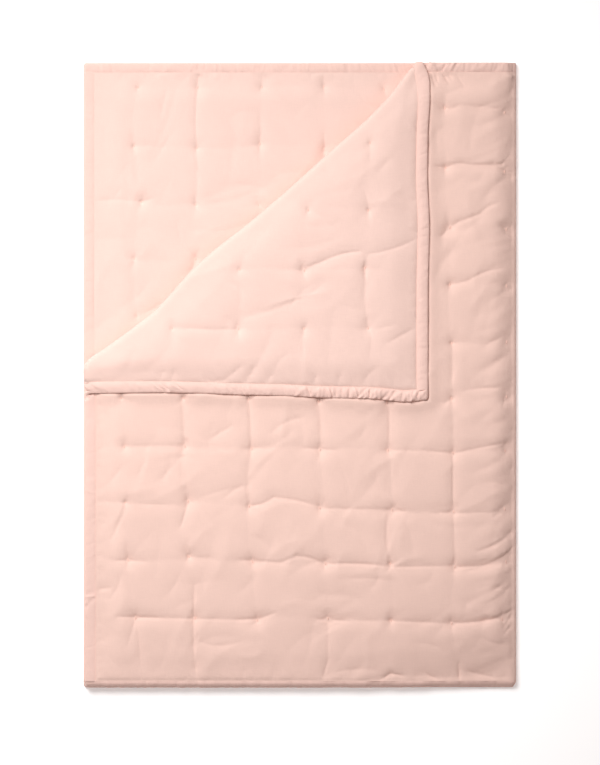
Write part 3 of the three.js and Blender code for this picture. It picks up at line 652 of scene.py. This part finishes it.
head_seam, foot_seam = HEAD - BINDING_WIDTH["head"], FOOT + BINDING_WIDTH["foot"]
left_seam, corner_seam = UPPER_LEFT + BINDING_WIDTH["end"], CORNER_RIGHT - BINDING_WIDTH["head"]
FAINT["upper"] += puckers((left_seam, foot_seam), (FOLD_X, foot_seam), (0, 1))
FAINT["upper"] += puckers((left_seam, foot_seam), (left_seam, CORNER_Y), (1, 0))
FAINT["upper"] += puckers((CORNER_RIGHT, head_seam), (FOLD_X, head_seam), (0, -1))
FAINT["lower"] += puckers((left_seam, head_seam), (CORNER_RIGHT, head_seam), (0, -1))
FAINT["flap"] += puckers((left_seam, CORNER_Y + 18), (corner_seam, CORNER_Y + 10), (0, 1))
FAINT["flap"] += puckers((corner_seam, CORNER_Y), (corner_seam, HEAD), (-1, 0))
FAINT["upper"] += fold_wrinkles()
print("faint creases", {layer: len(rows) for layer, rows in FAINT.items()})

# %% How far a layer's face is drawn in
TUFT_DEEP = {"depth": 1.0, "reach": 13.0}
TUFT_PIT = {"depth": 1.4, "reach": 3.0}
TUFT_SHARE = {"lower": 0.5, "upper": 0.9, "flap": 0.65, "under": 1.0}


def creased(layer, x, y):
    """How deep all the creases of a layer are at each place."""
    return STRONGER * depth_of_all(CREASES.get(layer, []), x, y) + depth_of_all(FAINT[layer], x, y)


def drawn_in(layer, x, y):
    """Distance that the face lies below its fullest puff."""
    total = creased(layer, x, y)
    for tuft_x, tuft_y in TUFTS[layer]:
        away = np.hypot(x - tuft_x, y - tuft_y)
        for pull in (TUFT_DEEP, TUFT_PIT):
            total += TUFT_SHARE[layer] * pull["depth"] * np.exp(-((away / pull["reach"]) ** 2))
    return total


# %% [markdown]
# ## The panel
# The panel starts as a flat slab: a grid, extruded once, so that it has a face and a back that are joined
# round the rim. Only the cloth that shows needs a fine mesh, so the grid starts coarse and the faces that
# will show are subdivided. Then every vertex is folded, and pushed out to the cloth's surface.

# %% Cut the slab
COARSE_CELL = 11.0
FINE_CUTS = 2
FINEST_CUTS = 1
SHARP_ENOUGH = 0.95
NEAR_SEAM = 4.5
SLAB_HALF = 1.0
TUCK = 2.0
SHOWN_SPARE = 15.0
ROLL_SPARE = 25.0
FOLD_SPARE = 12.0
PANEL_EDGES = {side: width - TUCK for side, width in BINDING_WIDTH.items()}


def flat_slab(across_length, along_length):
    """A closed slab that starts at across 0 and lies evenly about along 0. Its upper face is the reverse."""
    made = bmesh.new()
    columns, rows = round(across_length / COARSE_CELL), round(along_length / COARSE_CELL)
    bmesh.ops.create_grid(made, x_segments=columns, y_segments=rows, size=0.5)
    top = bmesh.ops.extrude_face_region(made, geom=made.faces[:])["geom"]
    top_points = [item for item in top if isinstance(item, bmesh.types.BMVert)]
    bmesh.ops.translate(made, vec=(0.5, 0, 2 * SLAB_HALF), verts=top_points)
    bmesh.ops.translate(made, vec=(0.5, 0, 0), verts=[v for v in made.verts if v.co.z < SLAB_HALF])
    bmesh.ops.translate(made, vec=(0, 0, -SLAB_HALF), verts=made.verts)
    bmesh.ops.scale(made, vec=(across_length, along_length, 1), verts=made.verts)
    return made


def shows(across, along, side):
    """Whether a face of the flat slab can be seen once the quilt is folded."""
    beyond = (FOLD_X - across + TURN_END - CREASE_START[0]) * BEYOND[0]
    beyond += (along - CREASE_START[1]) * BEYOND[1]
    if side > 0 and across < TURN_START:
        rolled = read(ROLLED_EDGE, along)
        return along > CORNER_Y - SHOWN_SPARE and LEFT + across < rolled + SHOWN_SPARE
    if side > 0:
        return across > TURN_END and beyond > -ROLL_SPARE
    if across < TURN_START - FOLD_SPARE:
        return False
    under_corner = across > TURN_END + FOLD_X - CORNER_RIGHT + SHOWN_SPARE
    covered = along > CORNER_Y + SHOWN_SPARE and under_corner
    return beyond < SHOWN_SPARE and not covered


low_edge, high_edge = FOOT + PANEL_EDGES["foot"], HEAD - PANEL_EDGES["head"]
bm = flat_slab(TOTAL - 2 * PANEL_EDGES["end"], high_edge - low_edge)
bmesh.ops.translate(bm, vec=(PANEL_EDGES["end"], (high_edge + low_edge) / 2, 0), verts=bm.verts)
fine = set()
for face in bm.faces:
    centre = face.calc_center_median()
    face.material_index = 0 if centre.z > 0 else 1
    if abs(centre.z) > SLAB_HALF / 2 and shows(centre.x, centre.y, centre.z):
        fine.update(face.edges)
bmesh.ops.subdivide_edges(bm, edges=list(fine), cuts=FINE_CUTS, use_grid_fill=True)
print("slab", len(bm.verts), "points")


def inside_seam(across, along):
    """How far a place lies inside the nearest seam of the binding."""
    from_ends = np.minimum(across, TOTAL - across) - BINDING_WIDTH["end"]
    from_head = HEAD - BINDING_WIDTH["head"] - along
    from_foot = along - FOOT - BINDING_WIDTH["foot"]
    return np.minimum.reduce([from_ends, from_head, from_foot])


def needs_more(across, along, side):
    """Which small faces lie on a strong crease, at a seam, or on the outside of a bend that shows."""
    middle, swing, roll, _, _ = places(across, along)
    depth = np.zeros_like(across)
    for layer, part in (
        ("lower", (swing == 0) & (side > 0)),
        ("upper", (swing > 0) & (side < 0)),
        ("flap", (roll > 0) & (side > 0)),
    ):
        x, y = middle[part, 0], middle[part, 1]
        depth[part] = depth_of_all(CREASES[layer], x, y) + (inside_seam(across, along)[part] < NEAR_SEAM)
        for tuft_x, tuft_y in TUFTS[layer]:
            depth[part] += np.hypot(x - tuft_x, y - tuft_y) < 2 * TUFT_PIT["reach"]
    bend = ((swing > 0) & (swing < np.pi) & (side < 0)) | ((roll > 0) & (roll < np.pi) & (side > 0))
    return (depth > SHARP_ENOUGH) | bend


small = [face for face in bm.faces if face.calc_area() < COARSE_CELL**2 / 4 and abs(face.normal.z) > 0.5]
centres = np.array([face.calc_center_median() for face in small])
finest = set()
for face, more in zip(small, needs_more(centres[:, 0], centres[:, 1], np.sign(centres[:, 2]))):
    if more:
        finest.update(face.edges)
bmesh.ops.subdivide_edges(bm, edges=list(finest), cuts=FINEST_CUTS, use_grid_fill=True)
bmesh.ops.recalc_face_normals(bm, faces=bm.faces)
panel = link_mesh("quilt_cloth", bm)
print("slab", len(panel.data.vertices), "points with the finest part")

# %% Fold the slab and puff it out
SEAM_HALF = 4.8
SEAM_SLOPE = 9.0
CORNER_SEAM_HALF = 1.5
CORNER_SEAM_SLOPE = 10.0
LEAST_HALF = 0.9
HIDDEN_SHARE = 0.25
BEND_CLEARANCE = 1.2
PUFF_CURVE = 0.8
ROLL_SHOULDER = 2.2
STAND_OUT = 1.0
SHARP_ANGLE = 75.0
SEAM_TAUT = (3.0, 10.0)
# Share of a half turn where creases set in again on the taut cloth, and over what share they grow
ROLL_TAUT = (0.5, 0.4)
FOLD_TAUT = (0.45, 0.5)


def read_points(mesh):
    """All of a mesh's points, one row each."""
    points = np.empty(len(mesh.vertices) * 3)
    mesh.vertices.foreach_get("co", points)
    return points.reshape(-1, 3)


def blunt(points):
    """Keeps points from standing out past the head, where the thick tip of the corner lies flush with it."""
    past = np.maximum(points[:, 1] - HEAD, 0)
    points[:, 1] += STAND_OUT * (1 - np.exp(-past / STAND_OUT)) - past
    points[:, 2] = np.maximum(points[:, 2], 0)
    return points * MM


def write_points(mesh, points):
    mesh.vertices.foreach_set("co", np.ravel(points))
    mesh.update()


def half_thickness(across, along, side):
    """From the middle of the quilt out to one of its two faces."""
    middle, swing, roll, radius, own = places(across, along)
    from_seam = inside_seam(across, along)
    turn = smooth(roll / np.pi)
    seam_half = np.minimum(lerp(SEAM_HALF, CORNER_SEAM_HALF, turn), own / 2)
    full = lerp(seam_half, own / 2, rise(from_seam / lerp(SEAM_SLOPE, CORNER_SEAM_SLOPE, turn)) ** PUFF_CURVE)
    lower, turned = swing == 0, roll > 0
    pull = np.zeros_like(across)
    for layer, part in (
        ("lower", lower & (side > 0)),
        ("upper", ~lower & (side < 0)),
        ("flap", turned & (side > 0)),
        ("under", lower & (side < 0)),
    ):
        pull[part] = drawn_in(layer, middle[part, 0], middle[part, 1])
    shown = (lower & (side > 0)) | (~lower & (side < 0) & ~turned) | (turned & (side > 0))
    pull *= np.where(shown, 1.0, HIDDEN_SHARE)
    pull *= np.where(turned, smooth((roll / np.pi - ROLL_TAUT[0]) / ROLL_TAUT[1]), 1.0)
    folding = smooth((swing / np.pi - FOLD_TAUT[0]) / FOLD_TAUT[1])
    pull *= np.where(~lower & (swing < np.pi), folding, 1.0)
    pull *= smooth((from_seam + SEAM_TAUT[0]) / SEAM_TAUT[1])
    shoulder = np.where(turned & (side > 0), ROLL_SHOULDER * np.sin(2 * roll) ** 2, 0)
    half = np.maximum(full - pull, LEAST_HALF) + shoulder
    # On the inner side of a bend the cloth is pressed together
    bend = np.maximum(np.sin(swing), np.sin(roll))
    inner = np.where(swing < np.pi, side > 0, side < 0) & (bend > 0)
    inner_half = lerp(half, np.minimum(half, radius - BEND_CLEARANCE), smooth(2 * bend))
    return np.where(inner, inner_half, half)


def fold_points(across, along, side):
    """Where points of the two faces are once the quilt is folded, in metres."""
    middle = places(across, along)[0]
    height = side * half_thickness(across, along, side)
    return blunt(middle + reverse_way(across, along) * height[:, None])


flat = read_points(panel.data)
folded = fold_points(flat[:, 0], flat[:, 1], np.sign(flat[:, 2]))
write_points(panel.data, folded)
panel.data.polygons.foreach_set("use_smooth", [True] * len(panel.data.polygons))
panel.data.set_sharp_from_angle(angle=np.radians(SHARP_ANGLE))
triangles = sum(len(face.vertices) - 2 for face in panel.data.polygons)
print("panel", triangles, "triangles")

# %% Lay the flat quilt out as the UV map, in metres
REVERSE_APART = 2.0


def lay_out_uv(obj, across, along, apart):
    """Writes the place on the flat quilt as the UV of every corner."""
    corners = np.empty(len(obj.data.loops), dtype=np.int32)
    obj.data.loops.foreach_get("vertex_index", corners)
    uv = np.stack([across * MM + apart, along * MM], axis=1)[corners]
    obj.data.uv_layers.new(name="flat_quilt").data.foreach_set("uv", uv.ravel())


lay_out_uv(panel, flat[:, 0], flat[:, 1], REVERSE_APART * (flat[:, 2] < 0))

# %% [markdown]
# ## The binding
# The binding is a strip folded over the quilt's edge. It goes round in four lengths, as in the frame. Each
# one starts as a capped cylinder that is cut into many rings. Its rings become the strip's section, thin at
# the seam and full at the edge, and the same folding function lays it round the turns. Where the strip was
# eased in, it is gathered into small slanting pleats.

# %% Make the four strips
STRIP_SIDES = 20
STRIP_STEP = 1.3
STRIP_HALF = 5.3
CORNER_STRIP_HALF = 4.7
STRIP_SEAM_HALF = 4.8
CORNER_STRIP_SEAM_HALF = 3.0
FLAT_SECTION = 0.3
SEAM_SECTION = 0.12
ROUND_SECTION = 0.45
CURL = {"binding_head": 0.9, "binding_upper_end": 0.9}
THINNER_OUT = {"binding_upper_end": 0.15}
WIDTH_CURVE = 0.8
FULL_BY = 2.2
GATHERED_BY = 3.0
SECTION_MIDDLE = 0.05
LEAST_END = 0.15
FACES_APART = 0.1
NO_END = 1000.0
END_ROUNDING = 5.0
END_SOFTNESS = 3.0
LAP = 2.5
STRIP_CREASED = 0.6

# Start and end along the strip, and the depth of the pleats
PLEATS = {
    "binding_head": [
        (20, 540, 0.7), (TURN_END + 5, TURN_END + 95, 1.1), (TURN_END + 95, TURN_END + 134, 2.8),
        (TURN_END + 145, TOTAL - 30, 0.5),
    ],
    "binding_foot": [(20, 640, 0.4), (TURN_END + 20, TOTAL - 20, 0.5)],
    "binding_lower_end": [(-450, 480, 0.25)],
    "binding_upper_end": [
        (-470, -60, 0.35), (-362, -342, 1.2), (-20, 300, 0.7), (92, 126, 1.2), (204, 232, 1.2),
        (300, 374, 2.2), (376, 492, 2.8),
    ],
}
PLEAT_PITCH = (2.4, 7.0)
PLEAT_WIDTH = (1.2, 3.0)
PLEAT_SLANT = (0.5, 0.5)
PLEAT_SHARE = (0.25, 1.0)
PLEAT_ROOM = 40.0


def capped_tube(length, step, sides):
    """A cylinder of radius 1 on Z from 0 to 1, cut into rings a step apart on a strip of that length."""
    made = bmesh.new()
    bmesh.ops.create_cone(made, cap_ends=True, cap_tris=False, segments=sides, radius1=1, radius2=1, depth=1)
    bmesh.ops.translate(made, vec=(0, 0, 0.5), verts=made.verts)
    sides_only = [edge for edge in made.edges if abs(edge.verts[0].co.z - edge.verts[1].co.z) > 0.5]
    bmesh.ops.subdivide_edges(made, edges=sides_only, cuts=round(length / step) - 1)
    return made


def pleat(name, run, out):
    """Height of the gathers at a place on a strip. Each is a narrow slanting fold, and no two are alike."""
    total = np.zeros_like(run)
    for start, end, depth in PLEATS[name]:
        at = start
        while at < end:
            slant, width = draw.normal(*PLEAT_SLANT), draw.uniform(*PLEAT_WIDTH)
            height = depth * draw.uniform(*PLEAT_SHARE) * draw.choice([-1, 1, 1])
            near = np.abs(run - at) < PLEAT_ROOM
            away = (run[near] + slant * (out[near] - BINDING_WIDTH["end"] / 2) - at) / width
            total[near] += height * np.exp(-(away**2))
            at += draw.uniform(*PLEAT_PITCH)
    return total


def make_strip(name, width, start, end, laps, flat_place):
    """One length of binding. flat_place turns (run, out) into (across, along) on the flat quilt, and laps says
    which of its two ends run on under another length."""
    start, end = start - LAP * laps[0], end + LAP * laps[1]
    made = link_mesh(name + "_cloth", capped_tube(end - start, STRIP_STEP, STRIP_SIDES))
    ring = read_points(made.data)
    run = start + ring[:, 2] * (end - start)
    cosine, sine = -ring[:, 0], ring[:, 1]
    from_end = np.minimum(run - start + NO_END * laps[0], end - run + NO_END * laps[1])
    out = width / 2 * (1 + np.sign(cosine) * np.abs(cosine) ** WIDTH_CURVE)
    past = np.maximum(END_ROUNDING - from_end, 0)
    short = END_ROUNDING - np.sqrt(np.maximum(END_ROUNDING**2 - past**2, 0))
    out = np.minimum(out, width - short)
    gather = pleat(name, run, out)
    share = out / width
    across, along = flat_place(run, out)
    middle, swing, roll, _, own = places(across, along)
    turned = smooth(roll / np.pi)
    seam_half = lerp(STRIP_SEAM_HALF, CORNER_STRIP_SEAM_HALF, turned)
    full_half = lerp(STRIP_HALF, CORNER_STRIP_HALF, turned)
    half = np.minimum(lerp(seam_half, full_half, smooth(share * FULL_BY)), own / 2)
    half = half * (1 - THINNER_OUT.get(name, 0) * turned * share**3)
    section = lerp(FLAT_SECTION, lerp(SEAM_SECTION, ROUND_SECTION, share), turned)
    side = np.sign(sine) * np.abs(sine) ** section
    for layer, part in (
        ("lower", (swing == 0) & (side > 0)),
        ("upper", (swing == np.pi) & (roll == 0) & (side < 0)),
        ("flap", (roll == np.pi) & (side > 0)),
    ):
        gather[part] -= STRIP_CREASED * creased(layer, middle[part, 0], middle[part, 1])
    gather *= smooth(share * GATHERED_BY) * (np.abs(side) > SECTION_MIDDLE)
    height = side * np.maximum(half + gather, LEAST_HALF)
    height *= np.sqrt(np.clip(from_end / END_SOFTNESS, LEAST_END, 1))
    points = middle + reverse_way(across, along) * height[:, None]
    points[:, 2] -= CURL.get(name, 0) * turned * share**2
    write_points(made.data, blunt(points))
    is_side = [len(face.vertices) == 4 for face in made.data.polygons]
    made.data.polygons.foreach_set("use_smooth", is_side)
    lay_out_uv(made, across, along, 2 * REVERSE_APART + np.sign(sine) * FACES_APART)
    print(name, sum(len(face.vertices) - 2 for face in made.data.polygons), "triangles")
    return made


end_width, head_width, foot_width = (BINDING_WIDTH[side] for side in ("end", "head", "foot"))
SEAM_HEAD = HEAD - head_width
SEAM_FOOT = FOOT + foot_width
SEAM_END = TOTAL - end_width
STRIPS = {
    "binding_head": (head_width, 0, SEAM_END, (0, 1), lambda run, out: (run, SEAM_HEAD + out)),
    "binding_foot": (foot_width, 0, TOTAL, (0, 0), lambda run, out: (run, SEAM_FOOT - out)),
    "binding_lower_end": (end_width, SEAM_FOOT, SEAM_HEAD, (1, 1), lambda run, out: (end_width - out, run)),
    "binding_upper_end": (end_width, SEAM_FOOT, HEAD, (1, 0), lambda run, out: (SEAM_END + out, run)),
}
strips = [make_strip(name, *values) for name, values in STRIPS.items()]

# %% [markdown]
# ## The tacks
# Each tuft is held by one short stitch of soft thread, which sinks a little into its dimple. A ray from
# above finds the cloth under each tuft, and all the stitches are made as one mesh.

# %% Sew the tacks
STITCH_LENGTH = 5.4
STITCH_THICK = 1.5
STITCH_LIFT = 0.3
STITCH_TILT = 0.1
STITCH_SKEW = 0.22
STITCH_SHARE = (0.85, 1.15)
STITCH_SIDES = 8
STITCH_RINGS = 6
ABOVE_ALL = 200.0

tree = BVHTree.FromObject(panel, bpy.context.evaluated_depsgraph_get())
bm = bmesh.new()
for layer in TUFTS:
    for tuft_x, tuft_y in TUFTS[layer]:
        hit, facing, _, _ = tree.ray_cast(Vector((tuft_x, tuft_y, ABOVE_ALL)) * MM, Vector((0, 0, -1)))
        if layer == "under" or hit is None:
            continue
        tilt = [draw.uniform(-STITCH_TILT, STITCH_TILT) for _ in range(2)]
        turn = Euler((*tilt, draw.normal(0.0, STITCH_SKEW))).to_matrix().to_4x4()
        length = STITCH_LENGTH * draw.uniform(*STITCH_SHARE)
        size = Matrix.Diagonal((STITCH_THICK / 2, length / 2, STITCH_THICK / 2, 1))
        place = Matrix.Translation(hit + Vector((0, 0, STITCH_LIFT * MM)))
        bmesh.ops.create_uvsphere(
            bm, u_segments=STITCH_SIDES, v_segments=STITCH_RINGS, radius=MM, matrix=place @ turn @ size
        )
for face in bm.faces:
    face.smooth = True
tacks = link_mesh("tack_stitches", bm)
print("tacks", len(tacks.data.polygons) // (STITCH_SIDES * STITCH_RINGS))

# %% [markdown]
# ## Cotton
# One node group makes the cloth. Crossed sines raise the threads of a plain weave, long thin noise gives
# the uneven threads that cheap soft cotton has, and a broad faint noise mottles the dye. It reads the UV
# map, so the threads run with the cloth round every fold.

# %% Node group for plain woven cotton
THREAD_PITCH = 0.55 * MM
SLUB_SCALE = (60.0, 900.0)
MOTTLE_SCALE = 28.0
WEAVE_HEIGHT = 0.12 * MM


def add_socket(tree, name, way, kind, value):
    made = tree.interface.new_socket(name, in_out=way, socket_type=kind)
    if way == "INPUT":
        made.default_value = value


def math_node(tree, operation, first, second=None):
    """A math node fed by sockets or plain numbers."""
    node = tree.nodes.new("ShaderNodeMath")
    node.operation = operation
    for index, value in enumerate((first, second)):
        if isinstance(value, (int, float)):
            node.inputs[index].default_value = value
        elif value is not None:
            tree.links.new(value, node.inputs[index])
    return node.outputs[0]


def noise(tree, vector, scale, detail):
    """A noise texture on a vector, stretched by a scale for each direction."""
    mapping = tree.nodes.new("ShaderNodeMapping")
    mapping.inputs["Scale"].default_value = (*scale, 1.0)
    node = tree.nodes.new("ShaderNodeTexNoise")
    node.inputs["Scale"].default_value = 1.0
    node.inputs["Detail"].default_value = detail
    tree.links.new(vector, mapping.inputs["Vector"])
    tree.links.new(mapping.outputs["Vector"], node.inputs["Vector"])
    return node.outputs["Fac"]


cotton = bpy.data.node_groups.new("woven_cotton", "ShaderNodeTree")
add_socket(cotton, "Cloth place", "INPUT", "NodeSocketVector", (0, 0, 0))
add_socket(cotton, "Dye", "INPUT", "NodeSocketColor", (0.9, 0.7, 0.6, 1))
add_socket(cotton, "Unevenness", "INPUT", "NodeSocketFloat", 0.06)
add_socket(cotton, "Colour", "OUTPUT", "NodeSocketColor", None)
add_socket(cotton, "Roughness", "OUTPUT", "NodeSocketFloat", None)
add_socket(cotton, "Height", "OUTPUT", "NodeSocketFloat", None)
given = cotton.nodes.new("NodeGroupInput")
results = cotton.nodes.new("NodeGroupOutput")

split = cotton.nodes.new("ShaderNodeSeparateXYZ")
cotton.links.new(given.outputs["Cloth place"], split.inputs[0])
waves = [
    math_node(cotton, "SINE", math_node(cotton, "MULTIPLY", split.outputs[axis], np.pi / THREAD_PITCH))
    for axis in (0, 1)
]
weave = math_node(cotton, "MULTIPLY", waves[0], waves[1])
warp = noise(cotton, given.outputs["Cloth place"], SLUB_SCALE, 2.0)
weft = noise(cotton, given.outputs["Cloth place"], SLUB_SCALE[::-1], 2.0)
slubs = math_node(cotton, "ADD", warp, weft)
mottle = noise(cotton, given.outputs["Cloth place"], (MOTTLE_SCALE, MOTTLE_SCALE), 3.0)

uneven = math_node(cotton, "SUBTRACT", math_node(cotton, "ADD", slubs, mottle), 1.5)
uneven = math_node(cotton, "MULTIPLY", uneven, given.outputs["Unevenness"])
shade = cotton.nodes.new("ShaderNodeHueSaturation")
cotton.links.new(math_node(cotton, "ADD", uneven, 1.0), shade.inputs["Value"])
cotton.links.new(given.outputs["Dye"], shade.inputs["Color"])
rough = math_node(cotton, "ADD", math_node(cotton, "MULTIPLY", mottle, 0.1), 0.85)
height = math_node(cotton, "ADD", weave, math_node(cotton, "MULTIPLY", slubs, 1.5))
cotton.links.new(shade.outputs["Color"], results.inputs["Colour"])
cotton.links.new(rough, results.inputs["Roughness"])
cotton.links.new(height, results.inputs["Height"])

# %% Cotton for the reverse, the right side, the binding and the tacks
SHEEN = 0.08
DYES = {
    "reverse_cotton": (0.945, 0.687, 0.606),
    "right_side_cotton": (0.95, 0.679, 0.59),
    "binding_cotton": (0.955, 0.672, 0.592),
}


def cotton_material(name, dye):
    """Woven cotton of one dye, laid on the flat quilt's UV map."""
    material = new_material(name)
    tree = material.node_tree
    shader = shader_of(material)
    shader.inputs["Sheen Weight"].default_value = SHEEN
    shader.inputs["Specular IOR Level"].default_value = 0.25
    group = tree.nodes.new("ShaderNodeGroup")
    group.node_tree = cotton
    group.inputs["Dye"].default_value = (*dye, 1.0)
    place = tree.nodes.new("ShaderNodeUVMap")
    place.uv_map = "flat_quilt"
    bump = tree.nodes.new("ShaderNodeBump")
    bump.inputs["Distance"].default_value = WEAVE_HEIGHT
    tree.links.new(place.outputs["UV"], group.inputs["Cloth place"])
    tree.links.new(group.outputs["Height"], bump.inputs["Height"])
    tree.links.new(group.outputs["Colour"], shader.inputs["Base Color"])
    tree.links.new(group.outputs["Roughness"], shader.inputs["Roughness"])
    tree.links.new(bump.outputs["Normal"], shader.inputs["Normal"])
    return material


cottons = {name: cotton_material(name, dye) for name, dye in DYES.items()}
panel.data.materials.append(cottons["reverse_cotton"])
panel.data.materials.append(cottons["right_side_cotton"])
for strip in strips:
    strip.data.materials.append(cottons["binding_cotton"])
thread = new_material("tack_thread")
shader_of(thread).inputs["Base Color"].default_value = (0.88, 0.6, 0.51, 1.0)
shader_of(thread).inputs["Roughness"].default_value = 0.8
tacks.data.materials.append(thread)
print("materials", sorted(cottons))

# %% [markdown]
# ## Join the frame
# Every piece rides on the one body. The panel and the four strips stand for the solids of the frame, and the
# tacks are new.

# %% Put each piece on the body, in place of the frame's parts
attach(panel, "root")
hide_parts("quilt_panel")
for strip in strips:
    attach(strip, "root")
    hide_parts(strip.name.replace("_cloth", ""))
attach(tacks, "root")
